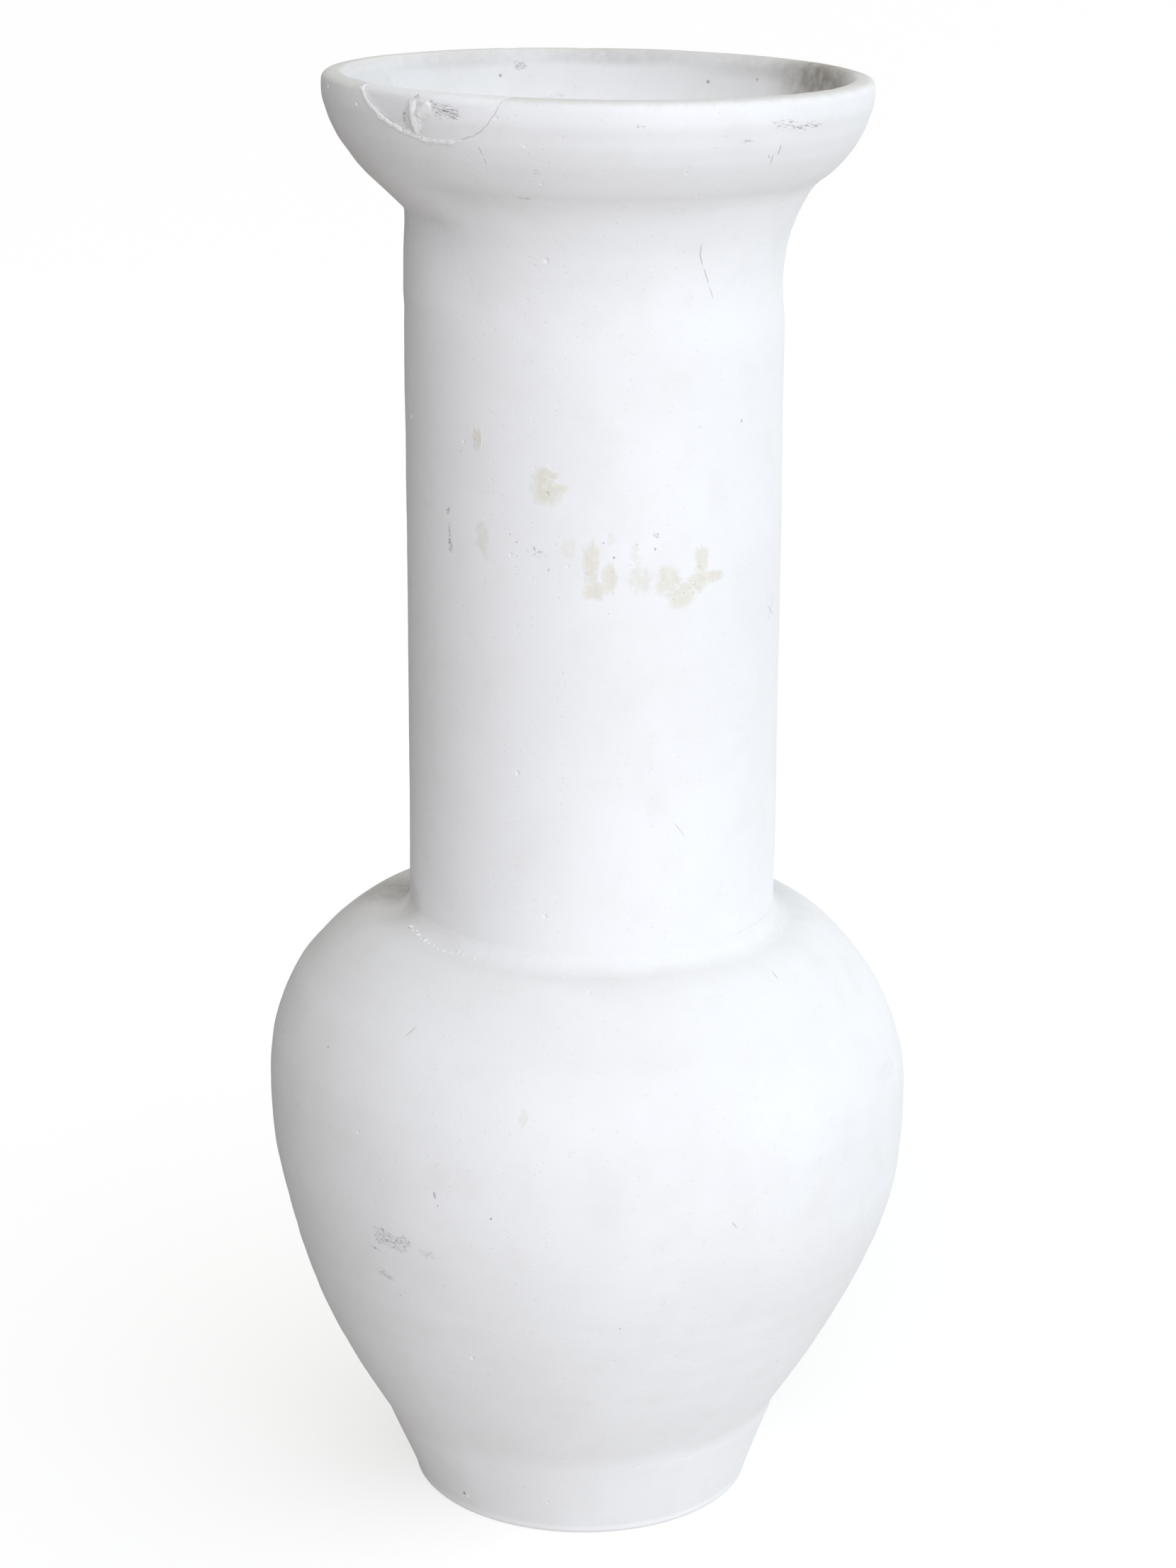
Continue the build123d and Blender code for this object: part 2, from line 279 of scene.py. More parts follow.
def warped(p, outside=False):
    """Where a point of the true turned form lies on the hand-made one."""
    radius = math.hypot(p.x, p.y)
    if radius < 1.0:
        return p.copy()
    reach = radius
    if outside:
        front = smooth(0.72, 0.95, -p.y / radius)
        reach = rubbed_radius(radius, p) + along(SWELL, p.z)
        reach += CREASE_FILL * front * math.exp(-(((p.z - CREASE[1]) / 4.0) ** 2))
    reach += WOBBLE * noise.noise(p * 0.013 + Vector((3.1, 0, 0)))
    scale = reach / radius
    out = Vector((p.x * scale + along(OFF_CENTRE, p.z), p.y * scale, p.z))
    out.z -= SHOULDER_TILT * p.x * smooth(145, 182, p.z) * smooth(300, 215, p.z)
    out.z -= (RIM_TILT * p.x + RIM_TILT * RIM_RADIUS) * smooth(400, 448, p.z)
    near_rim = smooth(468, 479, p.z)
    if near_rim:
        around = Vector((p.x, p.y, 0)) / radius
        dip = 0.5 + 0.5 * noise.noise(around * 2.3 + Vector((0, 0, 7.7)))
        nick = max(0.0, noise.noise(around * 9.0 + Vector((0, 0, 2.2))) - 0.25)
        out.z -= near_rim * (RIM_WAVE * dip + RIM_NICK * nick)
    return out


def relief(p):
    """Height of the fine surface in millimetres: rubbed patches, scraper rings and grain."""
    rubbed = 0.10 * noise.noise(p * 0.045)
    rings = 0.030 * noise.noise(Vector((p.x * 0.008, p.y * 0.008, p.z * 0.30)))
    grain = 0.016 * noise.noise(p * 0.42)
    sunk = 0.15 * max(smooth(470, 478, p.z), smooth(112, 125, p.z) * smooth(178, 165, p.z))
    return (rubbed + rings + grain - sunk) * smooth(0.0, 3.0, p.z)


def on_surface(p, normal):
    """A point of the true form, moved to the real surface. Millimetres in, metres out."""
    outside = normal.x * p.x + normal.y * p.y > 0
    return (warped(p, outside) + normal * relief(p)) * MM


def ring_point(radius, z, azimuth):
    return Vector((radius * math.cos(azimuth), radius * math.sin(azimuth), z))


# ---- mesh building

# How many points go around each section
DISC_COLUMNS, DISC_LUTING_COLUMNS, FOOT_COLUMNS = 180, 240, 320
BODY_COLUMNS, BEAD_COLUMNS, NECK_COLUMNS, MOUTH_COLUMNS = 400, 480, 330, 460


def as_mesh(name, bm):
    mesh = bpy.data.meshes.new(name)
    bm.to_mesh(mesh)
    bm.free()
    return mesh


def put_in_scene(name, data):
    thing = bpy.data.objects.new(name, data)
    bpy.context.scene.collection.objects.link(thing)
    return thing


def finished(name, mesh_or_bm, material, nodes, sharp=35):
    """Makes an object of the mesh, smooth but for its sharp edges, and joins it to the frame."""
    is_mesh = isinstance(mesh_or_bm, bpy.types.Mesh)
    mesh = mesh_or_bm if is_mesh else as_mesh(name, mesh_or_bm)
    mesh.polygons.foreach_set("use_smooth", [True] * len(mesh.polygons))
    mesh.set_sharp_from_angle(angle=math.radians(sharp))
    mesh.materials.clear()
    mesh.materials.append(material)
    piece = put_in_scene(name, mesh)
    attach(piece, "root")
    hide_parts(*nodes)
    return piece


def worked(points):
    """A run of an outline that carries the hand-worked surface, with its outward normals."""
    run = []
    for i, here in enumerate(points):
        before, after = points[max(i - 1, 0)], points[min(i + 1, len(points) - 1)]
        heading_on = Vector((after[0] - before[0], after[1] - before[1])).normalized()
        run.append((here, Vector((heading_on.y, -heading_on.x))))
    return run


def hidden(points):
    """A run of an outline that stays true, inside a joint."""
    return [(here, None) for here in points]


def true_run(*corners, step=JOINT_STEP):
    """A hidden run from corner to corner."""
    return hidden(joined(*(straight(a, b, step) for a, b in zip(corners, corners[1:]))))


def closed(*runs):
    """One closed outline. Where a worked run meets a hidden one, the worked one has the corner."""
    out = []
    for run in runs:
        for i, entry in enumerate(run):
            if i or not out or math.dist(out[-1][0], entry[0]) > 1e-6:
                out.append(entry)
            elif out[-1][1] is None:
                out[-1] = entry
    last = out[-1]
    if math.dist(out[0][0], last[0]) < 1e-6:
        out.pop()
        if out[0][1] is None:
            out[0] = last
    return out


def turned_mesh(outline, columns):
    """A closed ring or disc turned from an outline that runs up the outside and down the inside."""
    bm = bmesh.new()
    grid = []
    for (radius, z), normal in outline:
        if radius < 1e-6:
            grid.append([bm.verts.new(Vector((0, 0, z)) * MM)] * columns)
            continue
        row = []
        for c in range(columns):
            azimuth = 2 * math.pi * c / columns
            point = ring_point(radius, z, azimuth)
            if normal is None:
                row.append(bm.verts.new(warped(point) * MM))
            else:
                row.append(bm.verts.new(on_surface(point, ring_point(normal.x, normal.y, azimuth))))
        grid.append(row)
    count = len(outline)
    on_axis = outline[0][0][0] < 1e-6 and outline[-1][0][0] < 1e-6
    for i in range(count - 1 if on_axis else count):
        low, high = grid[i], grid[(i + 1) % count]
        for c in range(columns):
            d = (c + 1) % columns
            corners = []
            for v in (low[c], low[d], high[d], high[c]):
                if v not in corners:
                    corners.append(v)
            if len(corners) > 2:
                bm.faces.new(corners)
    bm.normal_update()
    return bm


CELL = 4 * MM
FINE_AROUND = 1.6
SMALLEST_PIT = 0.45


def sorted_cells(placed_things):
    """Things sorted into cubes of space by their places."""
    cells = {}
    for place, thing in placed_things:
        cells.setdefault(tuple(int(v // CELL) for v in place), []).append((place, thing))
    return cells


def nearby(cells, place):
    """The things in the cube that holds a place and in the 26 around it."""
    for step in itertools.product((-1, 0, 1), repeat=3):
        yield from cells.get(tuple(int(v // CELL) + d for v, d in zip(place, step)), ())


def pitted(bm, count, seed, low_z, high_z, max_radius=1.0):
    """Air-bubble pits: small hollows in the outside, with the mesh made fine around them."""
    rng = random.Random(seed)
    bm.verts.ensure_lookup_table()
    bm.faces.ensure_lookup_table()
    outside = []
    for f in bm.faces:
        centre = f.calc_center_median()
        flat = Vector((centre.x, centre.y, 0))
        if low_z * MM < centre.z < high_z * MM and f.normal.dot(flat.normalized()) > -0.3:
            if f.normal.dot(flat) > 0 or f.normal.z > 0.6:
                outside.append(f)
    pits = []
    for _ in range(count):
        f = outside[rng.randrange(len(outside))]
        radius = (SMALLEST_PIT + (max_radius - SMALLEST_PIT) * rng.random() ** 2.5) * MM
        pits.append((f.calc_center_median(), f.normal.copy(), radius, radius * rng.uniform(0.5, 0.9)))
    edges = set()
    cells = sorted_cells((f.calc_center_median(), f) for f in outside)
    for place, _, radius, _ in pits:
        for centre, f in nearby(cells, place):
            if (centre - place).length < radius + FINE_AROUND * MM:
                edges.update(f.edges)
    bmesh.ops.subdivide_edges(bm, edges=list(edges), cuts=3, use_grid_fill=True)
    cells = sorted_cells((v.co, v) for v in bm.verts)
    for place, normal, radius, depth in pits:
        for _, v in nearby(cells, place):
            away = (v.co - place).length / radius
            if away < 1:
                v.co -= normal * (depth * (1 - away * away))
    bm.normal_update()
    return bm


# ---- materials


def fill(node, inputs):
    """Sets a node's inputs, each to a number, a colour, a vector or another node's output."""
    for key, source in inputs.items():
        if isinstance(source, bpy.types.NodeSocket):
            node.id_data.links.new(source, node.inputs[key])
        else:
            node.inputs[key].default_value = source


def new_material(name):
    material = bpy.data.materials.new(name)
    material.use_nodes = True
    nodes = material.node_tree.nodes
    nodes.clear()
    output = nodes.new("ShaderNodeOutputMaterial")
    shader = nodes.new("ShaderNodeBsdfPrincipled")
    fill(output, {0: shader.outputs[0]})
    return material, shader


class Tree:
    """Short calls that add shader nodes to one tree."""

    def __init__(self, tree):
        self.tree = tree
        self.coords = tree.nodes.new("ShaderNodeTexCoord")
        self.place = self.coords.outputs["Object"]

    def add(self, kind, inputs, **settings):
        node = self.tree.nodes.new("ShaderNode" + kind)
        for name, value in settings.items():
            setattr(node, name, value)
        fill(node, inputs)
        return node

    def noise(self, scale, detail=2.0, roughness=0.5, vector=None, stretch=None):
        """Noise from 0 to 1, with its scale in features per metre."""
        source = vector or self.place
        if stretch:
            source = self.vector_math("MULTIPLY", source, stretch)
        inputs = {"Scale": scale, "Detail": detail, "Roughness": roughness, "Vector": source}
        return self.add("TexNoise", inputs).outputs["Fac"]

    def cells(self, scale, channel, above):
        """Distance from the middle of the nearest cell, and 1 in the cells picked by their colour."""
        node = self.add("TexVoronoi", {"Scale": scale, "Randomness": 1.0, "Vector": self.place})
        picked = self.vector_math("DOT_PRODUCT", node.outputs["Color"], channel)
        return node.outputs["Distance"], self.math("GREATER_THAN", picked, above)

    def math(self, operation, a, b=0.0):
        return self.add("Math", {0: a, 1: b}, operation=operation).outputs[0]

    def times(self, *factors):
        total = factors[0]
        for factor in factors[1:]:
            total = self.math("MULTIPLY", total, factor)
        return total

    def vector_math(self, operation, a, b=(0, 0, 0), scale=1.0):
        inputs = {0: a, 1: b, "Scale": scale} if operation == "SCALE" else {0: a, 1: b}
        node = self.add("VectorMath", inputs, operation=operation)
        return node.outputs["Value" if operation in ("LENGTH", "DOT_PRODUCT") else "Vector"]

    def ramp(self, value, low, high, to_low=0.0, to_high=1.0):
        """A smooth step of a value, from to_low below low to to_high above high."""
        inputs = {"Value": value, "From Min": low, "From Max": high, "To Min": to_low, "To Max": to_high}
        return self.add("MapRange", inputs, interpolation_type="SMOOTHSTEP").outputs[0]

    def fade(self, value, low, high):
        """A smooth step down, from 1 below low to 0 above high."""
        return self.ramp(value, low, high, 1.0, 0.0)

    def mix(self, factor, a, b):
        return self.add("Mix", {"Factor": factor, 6: a, 7: b}, data_type="RGBA").outputs[2]

    def bump(self, height, strength, distance):
        inputs = {"Strength": strength, "Distance": distance, "Height": height}
        return self.add("Bump", inputs).outputs[0]

    def in_mark(self, mark, depth=14.0):
        """A point's coordinates in a mark on the wall, and how far out it is: 1 at the edge."""
        azimuth, z, radius, width, tallness, _, *tilt = mark[:7]
        turn = math.radians(azimuth)
        inputs = {
            "Location": ring_point(radius, z, turn) * MM,
            "Rotation": Euler((math.radians(sum(tilt)), 0, turn)),
            "Scale": Vector((depth, width / 2, tallness / 2)) * MM,
            "Vector": self.place,
        }
        local = self.add("Mapping", inputs, vector_type="TEXTURE").outputs[0]
        return local, self.vector_math("LENGTH", local)


PLASTER = (0.845, 0.845, 0.838, 1)
PLASTER_PALE = (0.880, 0.882, 0.880, 1)
PLASTER_WARM = (0.815, 0.805, 0.782, 1)
SPECKLE = (0.52, 0.50, 0.46, 1)
RUST_SPECK = (0.33, 0.27, 0.20, 1)
PORE = (0.45, 0.43, 0.40, 1)
GRIME = (0.56, 0.53, 0.46, 1)
GRAPHITE = (0.16, 0.16, 0.17, 1)
DARK_LINE = (0.24, 0.21, 0.19, 1)
GLUE_STAIN = (0.75, 0.733, 0.64, 1)
GLUE_RUST = (0.48, 0.30, 0.13, 1)
# Colour of dust inside the bowl, also used as painted shade inside the bowl's right end and in the corner
# left of the neck
DUST_AND_SHADE = (0.30, 0.275, 0.235, 1)
FILLER = (0.79, 0.78, 0.76, 1)
FILLER_PALE = (0.87, 0.87, 0.86, 1)


def plaster_colour(t):
    """Mottled plaster: broad cloudy patches, fine speckle and a few rust-brown specks."""
    colour = t.mix(t.ramp(t.noise(14, 4, 0.6), 0.35, 0.68), PLASTER, PLASTER_PALE)
    colour = t.mix(t.ramp(t.noise(75, 3, 0.55), 0.45, 0.75, 0.0, 0.35), colour, PLASTER_WARM)
    colour = t.mix(t.ramp(t.noise(1500, 2, 0.7), 0.62, 0.80, 0.0, 0.16), colour, SPECKLE)
    distance, chosen = t.cells(170, (1, 0, 0), 0.965)
    return t.mix(t.times(chosen, t.fade(distance, 0.035, 0.085), 0.45), colour, RUST_SPECK)


def plaster_bump(t):
    """Fine grain and pinholes below the mesh's own detail: where the pinholes are, and the bump."""
    grain = t.noise(2300, 3, 0.65)
    brushed = t.noise(1.0, 3, 0.6, stretch=(160, 160, 1500))
    distance, chosen = t.cells(520, (0, 1, 0), 0.80)
    hole = t.times(t.fade(distance, 0.10, 0.28), chosen)
    height = t.math("ADD", t.times(grain, 0.5), t.times(brushed, 0.35))
    return hole, t.bump(t.math("SUBTRACT", height, t.times(hole, 0.9)), 0.22, 0.00035)


def stain_mask(t, mark, edge_noise, breakup):
    """A soft, ragged patch."""
    reach = t.math("ADD", t.in_mark(mark)[1], edge_noise)
    return t.times(t.fade(reach, 0.55, 1.05), breakup, mark[5])


def scribble_mask(t, mark, edge_noise):
    """Pencil-like strokes that run across the patch."""
    local, distance = t.in_mark(mark)
    window = t.fade(t.math("ADD", distance, edge_noise), 0.6, 1.1)
    lines = t.noise(1.0, 2, 0.7, vector=local, stretch=(0.4, 1.6, mark[7]))
    gaps = t.noise(1.0, 2, 0.6, vector=local, stretch=(0.4, 7.0, 3.0))
    ink = t.times(t.ramp(lines, 0.50, 0.62), t.ramp(gaps, 0.38, 0.52))
    return t.times(window, ink, mark[5])


def dust_and_shade_mask(t, mark, cloud):
    """A soft cloud of dust and painted shade that fades out with no edge."""
    return t.times(t.fade(t.in_mark(mark, 26.0)[1], 0.2, 1.0), cloud, mark[5])


def line_mask(t, mark):
    """A dot or a fine line with a clean edge."""
    return t.times(t.fade(t.in_mark(mark, 6.0)[1], 0.55, 1.0), mark[5])


def plaster_material(name, stains=(), scribbles=(), smears=(), lines=(), dusts_and_shades=(), grime=None):
    """Plaster with its own stains, pencil marks, smears, fine lines, and patches of dust and painted shade.
    grime is the z, reach and strength of a dirty edge."""
    material, shader = new_material(name)
    t = Tree(material.node_tree)
    colour = plaster_colour(t)
    edge_noise = t.ramp(t.noise(260, 4, 0.7), 0.2, 0.8, -0.55, 0.55)
    breakup = t.ramp(t.noise(620, 3, 0.7), 0.30, 0.62, 0.45, 1.0)
    patchy = t.ramp(t.noise(900, 4, 0.75, stretch=(1, 1, 2.5)), 0.42, 0.66)
    cloud = t.ramp(t.noise(210, 4, 0.65), 0.30, 0.70, 0.6, 1.0)
    for mark in stains:
        colour = t.mix(stain_mask(t, mark, edge_noise, breakup), colour, GLUE_STAIN)
    # Dust, and painted shade laid on in the dust colour
    for mark in dusts_and_shades:
        colour = t.mix(dust_and_shade_mask(t, mark, cloud), colour, DUST_AND_SHADE)
    for mark in smears:
        colour = t.mix(stain_mask(t, mark, edge_noise, patchy), colour, GRAPHITE)
    for mark in scribbles:
        colour = t.mix(scribble_mask(t, mark, edge_noise), colour, GRAPHITE)
    for mark in lines:
        colour = t.mix(line_mask(t, mark), colour, DARK_LINE)
    if grime:
        level, reach, strength = grime
        height = t.add("SeparateXYZ", {0: t.place}).outputs[2]
        ragged = t.math("ADD", height, t.times(edge_noise, 0.0012))
        band = t.ramp(ragged, (level - reach) * MM, level * MM, 0.0, strength)
        colour = t.mix(band, colour, GRIME)
    hole, bump = plaster_bump(t)
    fill(shader, {
        "Base Color": t.mix(t.times(hole, 0.10), colour, PORE),
        "Roughness": t.ramp(t.noise(120, 3), 0.3, 0.7, 0.80, 0.95),
        "Specular IOR Level": 0.25,
        "Normal": bump,
    })
    return material


def filler_material():
    """Repair filler: finer and whiter than the plaster, with smear streaks."""
    material, shader = new_material("repair_filler")
    t = Tree(material.node_tree)
    streaks = t.noise(1.0, 4, 0.6, stretch=(260, 260, 900))
    fill(shader, {
        "Base Color": t.mix(t.ramp(streaks, 0.35, 0.7), FILLER, FILLER_PALE),
        "Roughness": t.ramp(streaks, 0.3, 0.7, 0.62, 0.85),
        "Normal": t.bump(t.math("ADD", streaks, t.noise(1800, 2)), 0.25, 0.0003),
    })
    return material


def glue_material():
    """Dried glue film: plaster-coloured where it thins out, beige with rusty bits inside."""
    material, shader = new_material("dried_glue")
    t = Tree(material.node_tree)
    amount = t.add("Attribute", {}, attribute_name="film").outputs["Fac"]
    ragged = t.noise(420, 4, 0.7)
    body = t.times(amount, t.ramp(ragged, 0.25, 0.6, 0.45, 1.0))
    colour = t.mix(body, plaster_colour(t), GLUE_STAIN)
    rust = t.times(t.ramp(t.noise(700, 3, 0.7), 0.62, 0.72), t.ramp(amount, 0.3, 0.8))
    fill(shader, {
        "Base Color": t.mix(t.times(rust, 0.6), colour, GLUE_RUST),
        "Roughness": t.ramp(amount, 0.1, 0.9, 0.88, 0.55),
        "Normal": t.bump(ragged, 0.3, 0.0003),
    })
    return material


# ---- the turned sections


def foot_section():
    seat_top, seat_floor = FOOT_TOP[1] - GAP, foot_joint_low.z
    spigot_radius = FOOT_SPIGOT_RADIUS + GAP
    cove = part_of(cove_inside, LEDGE_TOP_Z, seat_floor)
    recess, ledge_z = disc_luting_high.x, disc_luting_high.z
    skin = part_of(lower_skin, 0, seat_top)
    outline = closed(
        worked(skin),
        true_run(skin[-1], (spigot_radius, seat_top), (spigot_radius, seat_floor), cove[0]),
        worked(cove + [(LEDGE_RADIUS, ledge_z)]),
        hidden([(LEDGE_RADIUS, ledge_z), (recess, ledge_z)]),
        worked(straight((recess, ledge_z), (recess, 1.0), 2)),
        worked([(recess, 1.0), (recess + 1.0, 0.0)]),
        true_run((recess + 1.0, 0.0), skin[0], step=2),
    )
    bm = pitted(turned_mesh(outline, FOOT_COLUMNS), 10, 11, 3, 30)
    finished("foot_section", bm, plaster_foot, ["foot_section"])


def floor_disc():
    radius, low, high = disc_high.x, disc_low.z, disc_high.z
    outline = closed(
        worked(straight((0, low), (radius - 0.6, low), 2.5) + [(radius, low + 0.6)]),
        worked(straight((radius, low + 0.6), (radius, high), 3)),
        worked(straight((radius, high), (0, high), 4)),
    )
    finished("floor_disc", turned_mesh(outline, DISC_COLUMNS), plaster_plain, ["floor_disc"])


def floor_disc_luting():
    radius, low, high = disc_high.x, disc_low.z, disc_luting_high.z
    outer = disc_luting_high.x
    outline = closed(
        worked([(radius, low + 0.3), ((radius + outer) / 2, low - 0.1), (outer, low + 0.4)]),
        hidden(straight((outer, low + 0.4), (outer, high), 3) + [(LEDGE_RADIUS, high)]),
        worked([(LEDGE_RADIUS, high), (LEDGE_RADIUS, disc_high.z)]),
        hidden([(LEDGE_RADIUS, disc_high.z), (radius, disc_high.z), (radius, low + 0.3)]),
    )
    bm = turned_mesh(outline, DISC_LUTING_COLUMNS)
    finished("floor_disc_luting", bm, luting, ["floor_disc_luting"])


def joint_ring(name, strip, bed_z, spigot_radius, spigot_z, inner, columns):
    """Luting between two sections: its outer strip, the bed, the sleeve and its inner end."""
    socket, seat_top, seat_floor = spigot_radius + GAP, bed_z - GAP, spigot_z - GAP
    outline = closed(
        worked(strip),
        true_run(strip[-1], (spigot_radius, bed_z), (spigot_radius, spigot_z), inner[0]),
        worked(inner),
        true_run(inner[-1], (socket, seat_floor), (socket, seat_top), strip[0]),
    )
    finished(name, turned_mesh(outline, columns), luting, [name])


def foot_joint_luting():
    spigot_z = foot_joint_low.z + GAP
    strip = part_of(lower_skin, FOOT_TOP[1] - GAP, FOOT_TOP[1])
    inner = part_of(cove_inside, foot_joint_low.z, spigot_z)
    joint_ring("foot_joint_luting", strip, FOOT_TOP[1], FOOT_SPIGOT_RADIUS, spigot_z, inner, FOOT_COLUMNS)


def body_section():
    spigot_z = foot_joint_low.z + GAP
    cove = part_of(cove_inside, spigot_z, FOOT_INNER[1])
    socket = SHOULDER_SPIGOT_RADIUS + GAP
    skin = part_of(lower_skin, FOOT_TOP[1], SHOULDER_Z)
    foot_seat = (FOOT_SPIGOT_RADIUS, FOOT_TOP[1])
    outline = closed(
        worked(joined(skin, straight(skin[-1], (socket, SHOULDER_Z), 1.5))),
        true_run((socket, SHOULDER_Z), (socket, COLLAR_Z)),
        worked([(socket, COLLAR_Z), (COLLAR_RADIUS, COLLAR_Z)]),
        worked(joined(belly_inside, cove)),
        true_run(cove[-1], (FOOT_SPIGOT_RADIUS, spigot_z), foot_seat, skin[0]),
    )
    bm = pitted(turned_mesh(outline, BODY_COLUMNS), 22, 23, 34, 201)
    finished("body_section", bm, plaster_body, ["body_section"])


def shoulder_joint_luting():
    """The bed and sleeve under the neck, with the hand-wiped bead around it."""
    sleeve, socket = SHOULDER_SPIGOT_RADIUS, SHOULDER_SPIGOT_RADIUS + GAP
    low = (NECK_RADIUS + BEAD_WIDTH, SHOULDER_Z)
    high = (NECK_RADIUS, SHOULDER_Z + BEAD_HEIGHT)
    outline = closed(
        worked(curve(low, -84, high, -6, (4.6, 3.6), 0.5)),
        true_run(high, (NECK_RADIUS, NECK_FOOT_Z), step=1.5),
        true_run((NECK_RADIUS, NECK_FOOT_Z), (sleeve, NECK_FOOT_Z), step=2),
        true_run((sleeve, NECK_FOOT_Z), (sleeve, COLLAR_Z)),
        worked([(sleeve, COLLAR_Z), (socket, COLLAR_Z)]),
        true_run((socket, COLLAR_Z), (socket, SHOULDER_Z)),
        true_run((socket, SHOULDER_Z), low, step=2),
    )
    bm = turned_mesh(outline, BEAD_COLUMNS)
    for v in bm.verts:
        radius = math.hypot(v.co.x, v.co.y) / MM
        rise = v.co.z / MM - SHOULDER_Z
        if radius > NECK_RADIUS - 0.2 and rise > 0.05:
            around = Vector((v.co.x, v.co.y, 0)).normalized()
            uneven = noise.noise(around * 4.0 + Vector((5.0, 1.0, 0.0))) * 0.5
            uneven = uneven + noise.noise(around * 17.0) * 0.15
            lumps = noise.noise(v.co / MM * 0.55) * 0.05
            share = smooth(0.0, 1.2, rise) * smooth(BEAD_HEIGHT, BEAD_HEIGHT - 1.5, rise)
            push = (uneven * 0.6 + lumps) * share * MM
            v.co += around * push + Vector((0, 0, push * 0.7))
    bm.normal_update()
    finished("shoulder_joint_luting", bm, luting, ["shoulder_joint_luting"], sharp=50)


def neck_section():
    seat_top, seat_floor = CREASE[1] - GAP, mouth_joint_low.z
    socket, sleeve = MOUTH_SPIGOT_RADIUS + GAP, SHOULDER_SPIGOT_RADIUS
    throat = part_of(bowl_inside, THROAT_Z, seat_floor)
    skin = part_of(upper_skin, NECK_FOOT_Z, seat_top)
    outline = closed(
        worked(skin),
        true_run(skin[-1], (socket, seat_top), (socket, seat_floor), throat[0]),
        worked(joined(throat, straight((BORE_RADIUS, THROAT_Z), (BORE_RADIUS, COLLAR_Z), 5))),
        worked(straight((BORE_RADIUS, COLLAR_Z), (sleeve, COLLAR_Z), 3)),
        true_run((sleeve, COLLAR_Z), (sleeve, NECK_FOOT_Z)),
        true_run((sleeve, NECK_FOOT_Z), skin[0], step=2),
    )
    bm = pitted(turned_mesh(outline, NECK_COLUMNS), 22, 37, 215, 440)
    finished("neck_section", bm, plaster_neck, ["neck_section"])


def mouth_joint_luting():
    spigot_z = mouth_joint_low.z + GAP
    strip = part_of(upper_skin, CREASE[1] - GAP, CREASE[1])
    inner = part_of(bowl_inside, mouth_joint_low.z, spigot_z)
    joint_ring("mouth_joint_luting", strip, CREASE[1], MOUTH_SPIGOT_RADIUS, spigot_z, inner, NECK_COLUMNS)


# ---- the mouth and its mended rim

SHARD_AZIMUTH = -128.0
SHARD_START, SHARD_END = (-27.5, HEIGHT + 1), (28.5, HEIGHT + 1)
SHARD_PULLS = ((-14.0, 464.0), (24.0, 457.5))
SHARD_MIDDLE_Z = 486.0
SEAM = 0.3
CUT_STEPS = 90
CUT_FROM, CUT_TO, CUT_ABOVE = 40.0, 120.0, 12
RIDGE_STEPS, RIDGE_SIDES = 150, 10
shard_turn = math.radians(SHARD_AZIMUTH)
shard_out = Vector((math.cos(shard_turn), math.sin(shard_turn), 0))
shard_right = Vector((-math.sin(shard_turn), math.cos(shard_turn), 0))


def seam_point(t, margin=0.0):
    """The broken edge in the plane square to the rim: distance along it, and height."""
    x, z = on_bezier((SHARD_START, *SHARD_PULLS, SHARD_END), t)
    ragged = 0.55 * noise.noise(Vector((x * 0.35, z * 0.35, 4.0))) + 0.22 * noise.noise(Vector((x, z, 9.0)))
    away = Vector((x, z - SHARD_MIDDLE_Z)).normalized() * (ragged + margin)
    return x + away.x, z + away.y


def shard_cutter(margin):
    """A closed block through the rim in the outline of the broken piece."""
    edge = [seam_point(i / CUT_STEPS, margin) for i in range(CUT_STEPS + 1)]
    edge += [(edge[-1][0], HEIGHT + CUT_ABOVE), (edge[0][0], HEIGHT + CUT_ABOVE)]
    bm = bmesh.new()
    near, far = [], []
    for ring, reach in ((near, CUT_FROM), (far, CUT_TO)):
        for x, z in edge:
            ring.append(bm.verts.new((shard_out * reach + shard_right * x + Vector((0, 0, z))) * MM))
    count = len(edge)
    for i in range(count):
        j = (i + 1) % count
        bm.faces.new((near[i], near[j], far[j], far[i]))
    bm.faces.new(near[::-1])
    bm.faces.new(far)
    bmesh.ops.recalc_face_normals(bm, faces=bm.faces)
    return as_mesh("cutter", bm)


def boolean(mesh, cutter, operation):
    """The result of one mesh cut by another."""
    base, tool = put_in_scene("cut_base", mesh), put_in_scene("cut_tool", cutter)
    modifier = base.modifiers.new("cut", "BOOLEAN")
    modifier.operation = operation
    modifier.solver = "EXACT"
    modifier.object = tool
    graph = bpy.context.evaluated_depsgraph_get()
    result = bpy.data.meshes.new_from_object(base.evaluated_get(graph))
    for thing in (base, tool):
        bpy.data.objects.remove(thing)
    return result


def mouth_mesh():
    spigot_z = mouth_joint_low.z + GAP
    throat = part_of(bowl_inside, spigot_z, lip_inner[1])
    skin = part_of(upper_skin, CREASE[1], HEIGHT)
    outline = closed(
        worked(joined(skin, lip_inside, throat)),
        true_run(throat[-1], (MOUTH_SPIGOT_RADIUS, spigot_z), (MOUTH_SPIGOT_RADIUS, CREASE[1]), skin[0]),
    )
    return as_mesh("mouth", pitted(turned_mesh(outline, MOUTH_COLUMNS), 12, 57, 449, 479, max_radius=0.8))


def shard_place(co):
    """A point's distance along the mended rim, its height and its distance out, in millimetres."""
    p = co / MM
    return p.dot(shard_right), p.z, math.hypot(p.x, p.y)


